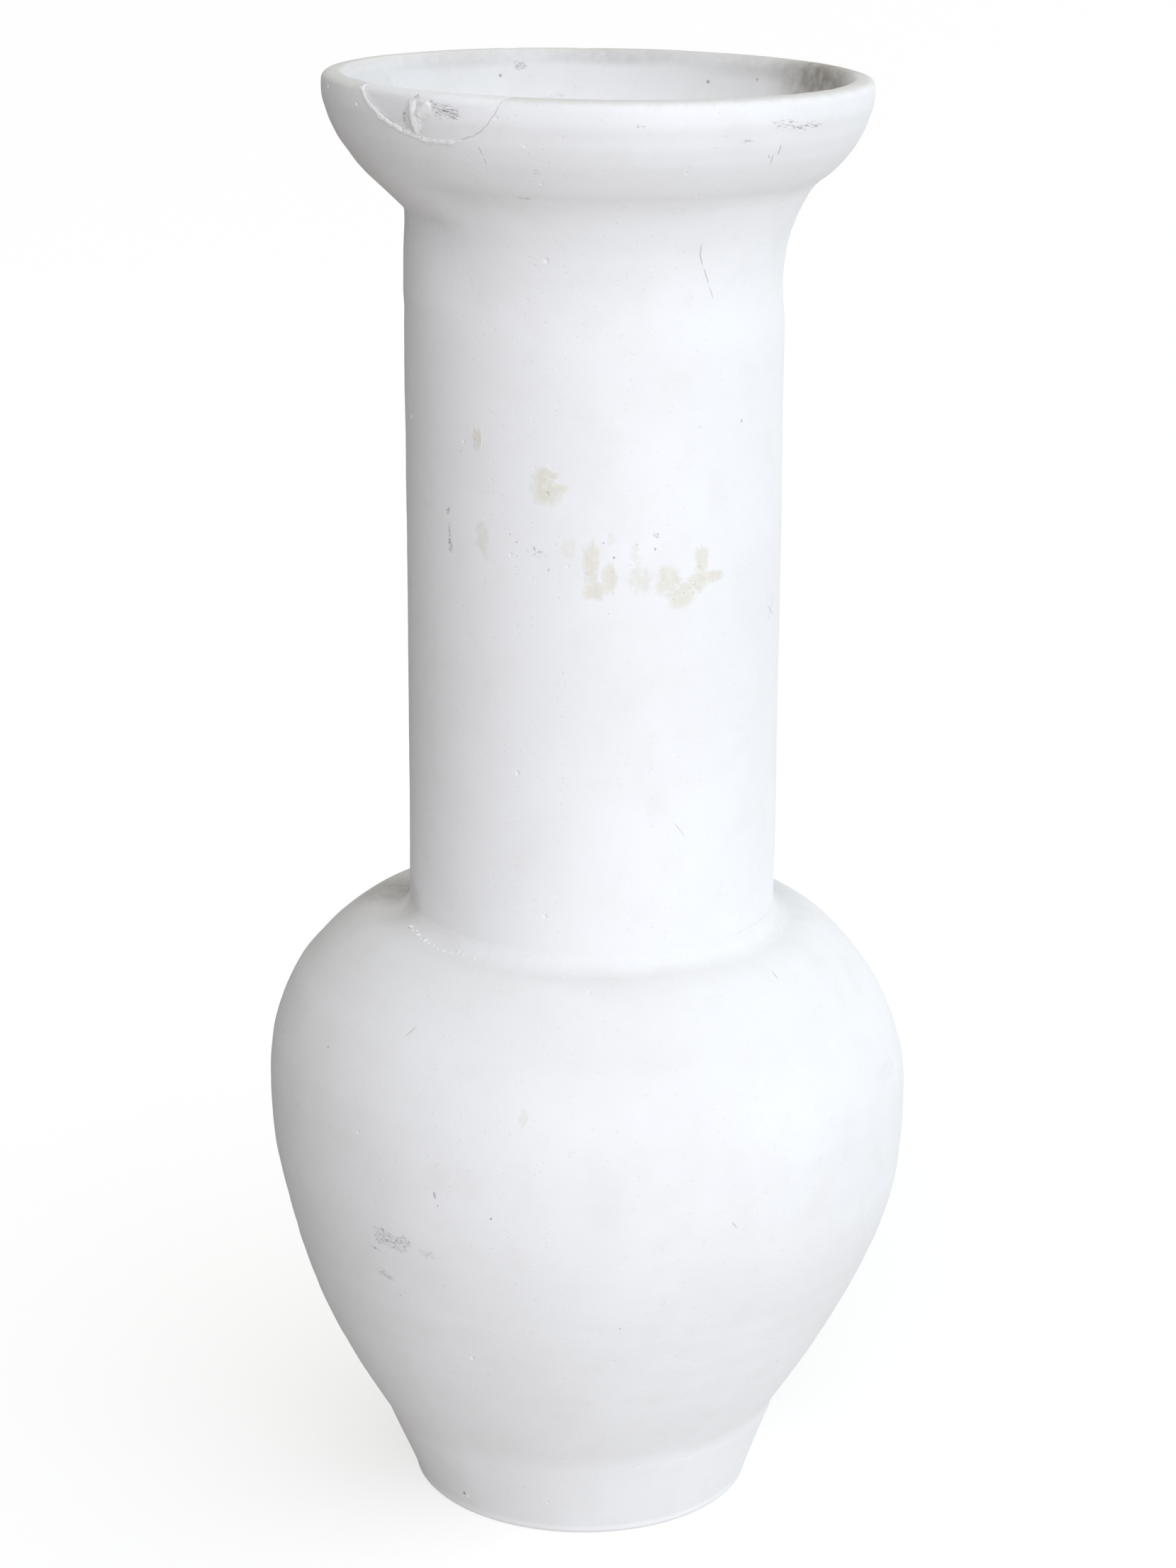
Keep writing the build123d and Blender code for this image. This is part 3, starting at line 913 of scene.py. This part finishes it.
def mouth_and_shard():
    mouth = mouth_mesh()
    inner, outer = shard_cutter(0.0), shard_cutter(SEAM)
    shard = boolean(mouth.copy(), inner, "INTERSECT")
    plug = boolean(mouth.copy(), outer, "INTERSECT")
    seam = boolean(plug, inner, "DIFFERENCE")
    holed = boolean(mouth, outer, "DIFFERENCE")
    for v in shard.vertices:
        x, z, radius = shard_place(v.co)
        outside = smooth(81.5, 83.5, radius)
        dished = 0.75 * smooth(6.0, -16.0, x) * outside
        smeared = 0.10 * noise.noise(Vector((x * 0.25, z * 0.8, 1.0))) * outside
        v.co -= shard_out * ((dished + smeared) * MM)
    for v in seam.vertices:
        x, _, radius = shard_place(v.co)
        if radius > 82.0:
            v.co -= shard_out * (smooth(-4.0, 14.0, x) * 0.35 * MM)
    finished("mouth_section", holed, plaster_mouth, ["mouth_section"])
    finished("rim_shard", shard, plaster_shard, ["rim_shard"])
    with_ridge = bmesh.new()
    with_ridge.from_mesh(seam)
    add_seam_ridge(with_ridge)
    finished("shard_bedding", with_ridge, filler, ["shard_bedding"])


def add_seam_ridge(bm):
    """Filler squeezed out along the left of the break, as a thin uneven thread."""
    rings = []
    for i in range(RIDGE_STEPS):
        t = 0.03 + 0.66 * i / (RIDGE_STEPS - 1)
        x, z = seam_point(t, 0.2)
        radius = radius_at(z) if z < RIM_Z else RIM_RADIUS - 0.12 * (z - RIM_Z)
        azimuth = shard_turn + math.asin(x / radius)
        centre = on_surface(ring_point(radius, z, azimuth), ring_point(1, 0, azimuth))
        before = Vector(seam_point(t - 0.01, 0.2) + (0,))
        after = Vector(seam_point(t + 0.01, 0.2) + (0,))
        side_2d = (after - before).normalized()
        side = shard_right * -side_2d.y + Vector((0, 0, side_2d.x))
        out = ring_point(1, 0, azimuth)
        taper = smooth(0.0, 0.06, t - 0.02) * smooth(0.70, 0.58, t)
        swell = 0.55 + 0.35 * noise.noise(Vector((i * 0.13, 0, 3)))
        swell += 0.15 * noise.noise(Vector((i * 0.5, 1, 3)))
        wide, tall = max(0.12, swell) * 1.3 * taper + 0.05, max(0.1, swell) * 0.55 * taper + 0.02
        ring = []
        for k in range(RIDGE_SIDES):
            turn = 2 * math.pi * k / RIDGE_SIDES
            away = side * math.cos(turn) * wide + out * math.sin(turn) * tall
            ring.append(bm.verts.new(centre + away * MM))
        rings.append(ring)
    for a, b in zip(rings, rings[1:]):
        for k in range(RIDGE_SIDES):
            m = (k + 1) % RIDGE_SIDES
            bm.faces.new((a[k], a[m], b[m], b[k]))
    bm.faces.new(rings[0][::-1])
    bm.faces.new(rings[-1])
    bmesh.ops.recalc_face_normals(bm, faces=bm.faces)


# ---- films, daubs and crumbs

FILM_LOBES = 0.35
FILM_SPOKES = 72


def film(bm, layer, azimuth, z, width, tallness, seed, height_at, rings=14):
    """A thin closed patch on the outside, with a ragged edge that sinks into the wall.
    height_at gives its height in millimetres from a place in the patch, -1 to 1 each way."""
    base_radius = radius_at(z)
    centre_azimuth = math.radians(azimuth)

    def placed(x, y, height):
        height_z = z + y * tallness / 2
        radius = radius_at(height_z)
        angle = centre_azimuth + x * width / 2 / base_radius
        point = ring_point(radius, height_z, angle)
        normal = ring_point(1, 0, angle)
        return on_surface(point, normal) + normal * (height * MM)

    top, bottom = [], []
    for k in range(rings + 1):
        share = k / rings
        upper, lower = [], []
        for s in range(FILM_SPOKES if k else 1):
            turn = 2 * math.pi * s / FILM_SPOKES
            edge = 1 + FILM_LOBES * noise.noise(Vector((math.cos(turn) * 1.7, math.sin(turn) * 1.7, seed)))
            fine = Vector((math.cos(turn) * 6, math.sin(turn) * 6, seed + 5))
            edge += 0.4 * FILM_LOBES * noise.noise(fine)
            x, y = share * edge * math.cos(turn), share * edge * math.sin(turn)
            fade = smooth(1.0, 0.72, share)
            height = height_at(x, y) * fade - 0.03 * (1 - fade)
            v = bm.verts.new(placed(x, y, height))
            v[layer] = smooth(1.02, 0.45, share)
            upper.append(v)
            if k < rings:
                under = bm.verts.new(placed(x, y, -0.2))
                under[layer] = 0.0
                lower.append(under)
        top.append(upper)
        bottom.append(lower if k < rings else upper)
    for surface, flip in ((top, False), (bottom, True)):
        for k in range(rings):
            for s in range(FILM_SPOKES):
                n = (s + 1) % FILM_SPOKES
                if k == 0:
                    corners = [surface[0][0], surface[1][s], surface[1][n]]
                else:
                    corners = [surface[k][s], surface[k + 1][s], surface[k + 1][n], surface[k][n]]
                bm.faces.new(corners[::-1] if flip else corners)


GLUE_PATCHES = (
    (-126, 372.3, 4.6, 9.2, 1), (-104.2, 362.5, 9.8, 8, 2), (-103, 358.6, 13.4, 9.8, 2.6),
    (-90.6, 336.4, 6.8, 17.2, 3), (-89.6, 327.4, 10, 8, 3.4), (-85.4, 331.2, 6.3, 13.8, 4),
    (-67.5, 329.4, 11.6, 12.6, 5), (-63.2, 325, 15.2, 9.8, 6), (-57.6, 328.6, 9.8, 9.2, 6.6),
    (-56.4, 335.4, 6.1, 13.2, 7), (-51.6, 329.4, 10.4, 4.8, 8),
)


def glue_residue():
    bm = bmesh.new()
    layer = bm.verts.layers.float.new("film")
    for azimuth, z, width, tallness, seed in GLUE_PATCHES:

        def height_at(x, y, seed=seed):
            return 0.08 + noise.noise(Vector((x * 4, y * 4, seed))) * 0.05

        film(bm, layer, azimuth, z, width, tallness, seed, height_at)
    bm.normal_update()
    finished("glue_residue", bm, glue, ["glue_residue"], sharp=60)


def filler_daub():
    """Two crossing fingertip strokes of filler over the mend."""
    bm = bmesh.new()
    layer = bm.verts.layers.float.new("film")

    def stroke(x, y):
        ridge = 0.75 * math.exp(-((x / 0.45) ** 2)) * (1 - 0.5 * y * y)
        return 0.12 + ridge + 0.08 * noise.noise(Vector((x * 3, y * 3, 2)))

    def flick(x, y):
        ridge = 0.65 * math.exp(-(((x - y * 0.8) / 0.45) ** 2))
        return 0.08 + ridge + 0.06 * noise.noise(Vector((x * 4, y * 4, 8)))

    film(bm, layer, -129.2, 472.4, 6.6, 10.4, 12.0, stroke, rings=18)
    film(bm, layer, -126.9, 475.0, 9.0, 6.6, 14.0, flick, rings=16)
    bm.normal_update()
    finished("filler_daub", bm, filler, ["filler_daub"], sharp=60)


CRUMBS = (
    (-157, 63.2, 0.85), (-154.6, 63.8, 0.5), (-152.8, 63.2, 0.4), (-150.4, 64, 0.7), (-148.2, 64.6, 0.45),
    (-145.6, 64.4, 0.75), (-143.2, 65, 0.5), (-141, 64.6, 0.4), (-138.6, 65.4, 0.45), (-136, 65.2, 0.55),
    (-133.2, 64.8, 0.4), (-131.4, 63.6, 0.6), (-129, 64.2, 0.5), (-124.6, 64.8, 0.4), (-120.4, 64.6, 0.35),
    (-97, 68, 0.4), (-95, 67.2, 0.3), (-88, 68.4, 0.35), (-20, 67.4, 0.45), (40, 66.5, 0.7),
    (47, 67.6, 0.45), (118, 66.2, 0.8), (122, 67.6, 0.45),
)


def luting_crumbs():
    bm = bmesh.new()
    for number, (azimuth, distance, size) in enumerate(CRUMBS):
        angle = math.radians(azimuth)
        rise = SHOULDER_Z + max(0.0, NECK_RADIUS + BEAD_WIDTH - distance) ** 2 * 0.06
        centre = on_surface(ring_point(distance, rise, angle), Vector((0, 0, 1)))
        made = bmesh.ops.create_icosphere(bm, subdivisions=3, radius=1.0)
        for v in made["verts"]:
            lumpy = 1 + 0.45 * noise.noise(v.co * 1.3 + Vector((number * 3.7, 0, 0)))
            lumpy += 0.15 * noise.noise(v.co * 3.5 + Vector((0, number * 2.1, 0)))
            shape = Vector((v.co.x * 1.15, v.co.y, v.co.z * 0.75))
            v.co = centre + shape * (lumpy * size * MM)
    bm.normal_update()
    finished("luting_crumbs", bm, luting, ["luting_crumbs"], sharp=70)


# ---- marks
# Stains, smears and lines: azimuth, z, radius, width, tallness, strength and, if any, tilt.
# Scribbles end with their tilt and how many strokes lie side by side. Dust and painted shade have no tilt.

neck_stains = (
    (-124.5, 341, 60.8, 6, 13, 0.55, 12), (-96.8, 341, 60.8, 4.6, 8, 0.4),
    (-77.5, 339.5, 60.8, 4.6, 9, 0.45), (-76, 330.5, 60.8, 8, 8.5, 0.6), (-84.8, 343.5, 60.8, 3, 4.5, 0.35),
    (112, 300, 60.8, 16, 11, 0.4), (96, 262, 60.8, 9, 13, 0.3),
)
neck_smears = (
    (-126, 372.3, 60.8, 4.4, 8.4, 0.2), (-138.4, 347.6, 60.8, 2.8, 4.2, 0.85, -20),
    (-137.8, 340.6, 60.8, 1.5, 9, 0.6, 4), (-137.4, 336, 60.8, 2.8, 4.8, 0.9),
    (-71.2, 344.4, 60.8, 2.6, 2, 0.6, -30), (-66.6, 332.8, 60.8, 4, 3.6, 0.5), (60, 390, 60.8, 14, 8, 0.25),
    (170, 285, 60.8, 10, 16, 0.22),
)
neck_scribbles = (
    (-106.8, 338.5, 60.8, 3.4, 8.5, 0.5, 80, 5), (140, 350, 60.8, 18, 5, 0.35, 12, 8),
)
neck_lines = (
    (-20.6, 312.1, 60.8, 0.5, 9.5, 0.42, 52), (-20.2, 312.6, 60.8, 0.5, 11, 0.38, -36),
    (-40.8, 377, 60.8, 1, 1.2, 0.54), (-83.7, 337.8, 60.8, 1, 1, 0.61), (-86.8, 342.4, 60.8, 0.8, 0.8, 0.5),
    (-71.4, 340, 60.8, 0.9, 1.2, 0.54), (-77, 341.6, 60.8, 0.6, 0.6, 0.43),
    (-114.8, 343.6, 60.8, 0.6, 0.6, 0.43), (-112.6, 337, 60.8, 0.6, 0.6, 0.4),
    (-102.8, 333.4, 60.8, 0.7, 1.3, 0.4), (-85, 320, 60.8, 0.5, 0.5, 0.4),
    (-59.2, 432, 61.8, 0.5, 4.4, 0.47, 8), (-58.6, 429, 61.6, 0.5, 5.6, 0.51, 24),
    (-56.1, 423.6, 61.3, 0.5, 7.4, 0.47, 26), (-53.7, 418.1, 61.1, 0.5, 5.4, 0.38, 22),
    (-62, 248, 60.8, 0.5, 9, 0.26, 38),
)
mouth_smears = (
    (-81.6, 472.3, 86.5, 3.4, 1.2, 0.55), (-102.6, 457.5, 81, 1.8, 3.2, 0.45),
    (-107.5, 449, 73, 4.4, 1.8, 0.55), (-58.4, 466.9, 85, 7, 1.8, 0.6), (109, 474, 79, 5.5, 3.4, 0.7, 30),
    (35, 466, 85, 16, 4, 0.3), (150, 470, 86, 12, 6, 0.25),
)
mouth_scribbles = (
    (-47.6, 470.6, 86.2, 16, 3.4, 0.95, -7, 5), (-41.6, 470.4, 86.2, 9, 2.4, 0.9, -7, 4),
    (100, 463, 84, 15, 4, 0.45, -8, 7),
)
mouth_lines = (
    (-49.6, 463.4, 84, 0.6, 4.6, 0.51, 6), (-50.8, 460.6, 83, 0.6, 3.8, 0.47, 4),
    (-51.9, 461.6, 83.2, 0.6, 2, 0.38, 30), (-114.4, 471.2, 86.3, 1.2, 1.1, 0.61),
    (-114.2, 463.4, 84.2, 0.5, 3.6, 0.38, 16), (-113.7, 460.4, 83, 0.5, 2.8, 0.34, 12),
    (114.5, 471, 78.4, 1.3, 1.3, 0.65), (62, 470, 78, 1.4, 1.4, 0.65), (48, 472, 78.4, 1.1, 1.1, 0.5),
    (31, 479, 82, 2.2, 2, 0.55), (-8, 477.5, 85, 2, 1.4, 0.51),
)
# Inside the bowl: dust in a band under the back of the rim, and painted shade at the bowl's right end
mouth_dust_and_shade = (
    (125, 477, 78, 80, 9, 0.2), (85, 477.5, 78, 80, 9, 0.34), (48, 476, 78, 70, 12, 0.2),
    (23, 474, 78, 68, 32, 0.95),
)
shard_smears = (
    (-131.6, 471.2, 86, 2.4, 8, 0.9), (-127.4, 477.2, 85.4, 4.6, 2.8, 0.95, -20),
    (-121.6, 474.8, 86.2, 14, 5, 0.28),
)
shard_scribbles = (
    (-122.6, 475.4, 86.4, 13, 4.4, 0.95, -4, 7), (-120.2, 473.6, 86.3, 8, 3, 0.85, -6, 5),
)
body_stains = (
    (-100.8, 168, 103.5, 2.8, 6.6, 0.55), (62, 120, 107, 22, 14, 0.35), (175, 90, 97, 14, 18, 0.35),
)
body_smears = (
    (-127.6, 119.4, 106.2, 7, 6, 0.3, 15), (-123.2, 119, 106.2, 6.4, 6.6, 0.5, 30),
    (-118.4, 117.6, 105.8, 6, 3.2, 0.35), (-128.8, 104.6, 103.4, 8, 3, 0.35), (-20, 160, 106, 20, 7, 0.14),
    (110, 150, 107, 26, 10, 0.2),
)
body_scribbles = (
    (-127.4, 119.6, 106.4, 9, 8, 0.75, -24, 9), (-128.9, 104.8, 103.4, 9, 3.2, 0.55, -14, 5),
    (30, 100, 102, 20, 5, 0.35, 10, 7),
)
body_lines = (
    (-116.2, 139.6, 107.9, 1.1, 3.2, 0.47, 14), (-115.6, 136.2, 107.8, 0.8, 0.9, 0.43),
    (-105.9, 134.8, 107.8, 0.9, 1.2, 0.61), (-130.2, 113.9, 105.4, 1.3, 1.2, 0.54),
    (-130, 113.8, 105.4, 6, 0.6, 0.3, -14), (-145.3, 174.2, 101, 1.1, 1.1, 0.43),
    (-63.8, 130.7, 107.7, 0.7, 4, 0.3, 40), (-126.7, 186.5, 93, 0.6, 6, 0.3, -40),
    (-40.4, 198.4, 80, 0.6, 2.6, 0.38),
)
# Painted shade in the corner where the neck meets the shoulder, on the left, in the dust colour
corner_shade = (
    (166, 205, 66, 44, 24, 0.5), (-166, 210, 60, 26, 22, 0.26),
)
foot_smears = ((80.0, 15.0, 62.0, 12.0, 5.0, 0.3),)
foot_lines = ((-130.9, 8.3, 60.2, 1.3, 2.0, 0.80, -20.0),)

# plaster_body, plaster_neck and luting carry the painted shade of the neck's corner; plaster_mouth carries
# dust and painted shade inside the bowl
plaster_plain = plaster_material("plaster_plain")
plaster_foot = plaster_material("plaster_foot", (), (), foot_smears, foot_lines)
plaster_body = plaster_material(
    "plaster_body", body_stains, body_scribbles, body_smears, body_lines, corner_shade
)
plaster_neck = plaster_material(
    "plaster_neck", neck_stains, neck_scribbles, neck_smears, neck_lines, corner_shade
)
plaster_mouth = plaster_material(
    "plaster_mouth", (), mouth_scribbles, mouth_smears, mouth_lines, mouth_dust_and_shade, (HEIGHT - 0.5, 3.0, 0.35)
)
plaster_shard = plaster_material("plaster_shard", (), shard_scribbles, shard_smears)
luting = plaster_material("luting_plaster", dusts_and_shades=corner_shade)
filler = filler_material()
glue = glue_material()

foot_section()
floor_disc()
floor_disc_luting()
foot_joint_luting()
body_section()
shoulder_joint_luting()
neck_section()
mouth_joint_luting()
mouth_and_shard()
glue_residue()
filler_daub()
luting_crumbs()

# ---- stage, light and camera

FLOOR_HALF = 30.0
FLOOR_GLOW = 0.64
DOME_RADIUS = 28.0
DOME_GLOW = 0.92


def stage_piece(name, bm, base, glow):
    """A plain pale surface of the stage, which sends no light to the object."""
    material, shader = new_material("pale_" + name)
    fill(shader, {
        "Base Color": (base, base, base, 1),
        "Roughness": 0.9,
        "Specular IOR Level": 0.2,
        "Emission Color": (1, 1, 1, 1),
        "Emission Strength": glow,
    })
    mesh = as_mesh(name, bm)
    mesh.materials.append(material)
    stage = put_in_scene(name, mesh)
    stage.visible_diffuse = False
    return stage


def floor():
    bm = bmesh.new()
    bmesh.ops.create_grid(bm, x_segments=1, y_segments=1, size=FLOOR_HALF)
    stage_piece("floor", bm, 0.45, FLOOR_GLOW)


def backdrop():
    """A pale dome far behind everything. It lets all the light through."""
    bm = bmesh.new()
    bmesh.ops.create_uvsphere(bm, u_segments=48, v_segments=24, radius=DOME_RADIUS)
    dome = stage_piece("backdrop", bm, 0.0, DOME_GLOW)
    dome.visible_glossy = False
    dome.visible_shadow = False


def add_light(name, kind, azimuth, elevation, distance, power, colour, **shape):
    """A light that faces the middle of the object. Azimuth 0 is at the camera's side."""
    a, e = math.radians(azimuth), math.radians(elevation)
    back = Vector((math.sin(a) * math.cos(e), -math.cos(a) * math.cos(e), math.sin(e)))
    data = bpy.data.lights.new(name, kind)
    data.energy, data.color = power, colour
    for key, value in shape.items():
        setattr(data, key, value)
    lamp = put_in_scene(name, data)
    lamp.location = Vector((0, 0, HEIGHT * MM / 2)) + back * distance
    lamp.rotation_euler = (-back).to_track_quat("-Z", "Y").to_euler()


# Light from the room: directions with the colour that comes from each
ROOM = (
    ((1, 0, 0), (1.03, 1.09, 1.16)),
    ((0, -1, 0), (1.45, 1.47, 1.57)),
    ((0, 0, 1), (0.82, 0.815, 0.745)),
    ((0, 0, -1), (0.15, 0.095, 0.015)),
)


def world_light():
    """A bright room: soft lobes of light from the front, the right and above."""
    world = bpy.data.worlds.new("room")
    bpy.context.scene.world = world
    world.use_nodes = True
    tree = world.node_tree
    tree.nodes.clear()
    t = Tree(tree)
    direction = t.coords.outputs["Generated"]
    total = None
    for axis, colour in ROOM:
        facing = t.math("MAXIMUM", t.vector_math("DOT_PRODUCT", direction, axis), 0.0)
        lobe = t.vector_math("SCALE", colour, scale=t.times(facing, facing))
        total = lobe if total is None else t.vector_math("ADD", total, lobe)
    background = tree.nodes.new("ShaderNodeBackground")
    output = tree.nodes.new("ShaderNodeOutputWorld")
    fill(background, {0: total})
    fill(output, {0: background.outputs[0]})


# The camera, as fitted to the photo's outline: metres, degrees and millimetres
CAMERA_PLACE = (-0.0005, -1.1266, 0.5885)
CAMERA_PITCH, CAMERA_ROLL = 16.89, 0.68
CAMERA_LENS, CAMERA_SENSOR = 81.37, 36.0


def camera():
    data = bpy.data.cameras.new("camera")
    data.lens = CAMERA_LENS
    data.sensor_width = CAMERA_SENSOR
    data.clip_end = 100.0
    eye = put_in_scene("camera", data)
    tipped = Euler((math.radians(90) - math.radians(CAMERA_PITCH), 0, 0)).to_matrix()
    rolled = Euler((0, 0, math.radians(CAMERA_ROLL))).to_matrix()
    eye.location = Vector(CAMERA_PLACE)
    eye.rotation_euler = (tipped @ rolled).to_euler()
    bpy.context.scene.camera = eye


floor()
backdrop()
add_light("top_left", "AREA", -20, 62, 2.4, 3.4, (1.0, 0.70, 0.70), size=1.5)
add_light("top_right", "AREA", 30, 62, 2.4, 6.4, (0.50, 0.72, 1.0), size=1.5)
add_light("edge", "SUN", 140, 10, 5.0, 0.69, (0.96, 0.965, 1.0), angle=math.radians(40))
world_light()
camera()
bpy.context.scene.view_settings.view_transform = "Standard"
